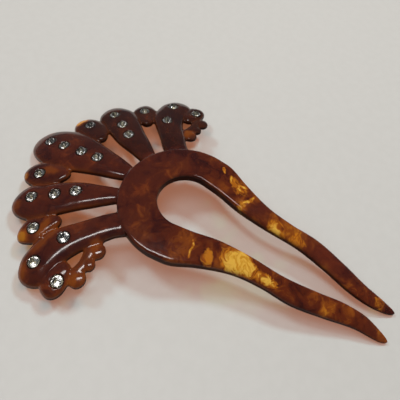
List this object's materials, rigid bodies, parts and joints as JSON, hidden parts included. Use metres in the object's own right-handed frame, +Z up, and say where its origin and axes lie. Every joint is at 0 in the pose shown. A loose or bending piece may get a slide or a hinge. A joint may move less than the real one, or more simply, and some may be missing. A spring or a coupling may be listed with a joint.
{
  "type": "hair comb",
  "caption": "Ornamental two-prong hair comb in tortoiseshell-coloured celluloid, with a fan crest of carved plumes set with foil-backed glass stones.",
  "frame": {"origin": "on the resting plane, under the centre of the comb's bounding box", "axes": "+Y along the comb from the prong tips to the crest, +Z up through its convex face, X across the prongs"},
  "size_m": [0.0854, 0.1276, 0.0129],
  "materials": {
    "celluloid": "polished, mottled brown and amber, slightly translucent",
    "cut_glass": "polished facets",
    "foil": "bright, a little tarnished"
  },
  "bodies": {
    "root": {"body": "celluloid", "stone_centre_1": "cut_glass", "foil_centre_1": "foil", "stone_centre_2": "cut_glass", "foil_centre_2": "foil", "stone_centre_3": "cut_glass", "foil_centre_3": "foil", "stone_centre_4": "cut_glass", "foil_centre_4": "foil", "stone_left_inner_leaflet": "cut_glass", "foil_left_inner_leaflet": "foil", "stone_left_side_plume_1": "cut_glass", "foil_left_side_plume_1": "foil", "stone_left_side_plume_2": "cut_glass", "foil_left_side_plume_2": "foil", "stone_left_side_plume_3": "cut_glass", "foil_left_side_plume_3": "foil", "stone_left_outer_leaflet": "cut_glass", "foil_left_outer_leaflet": "foil", "stone_left_outer_plume_1": "cut_glass", "foil_left_outer_plume_1": "foil", "stone_left_outer_plume_2": "cut_glass", "foil_left_outer_plume_2": "foil", "stone_left_curl": "cut_glass", "foil_left_curl": "foil", "stone_right_inner_leaflet": "cut_glass", "foil_right_inner_leaflet": "foil", "stone_right_side_plume_1": "cut_glass", "foil_right_side_plume_1": "foil", "stone_right_side_plume_2": "cut_glass", "foil_right_side_plume_2": "foil", "stone_right_side_plume_3": "cut_glass", "foil_right_side_plume_3": "foil", "stone_right_outer_leaflet": "cut_glass", "foil_right_outer_leaflet": "foil", "stone_right_outer_plume_1": "cut_glass", "foil_right_outer_plume_1": "foil", "stone_right_outer_plume_2": "cut_glass", "foil_right_outer_plume_2": "foil", "stone_right_curl": "cut_glass", "foil_right_curl": "foil"}
  },
  "joints": []
}
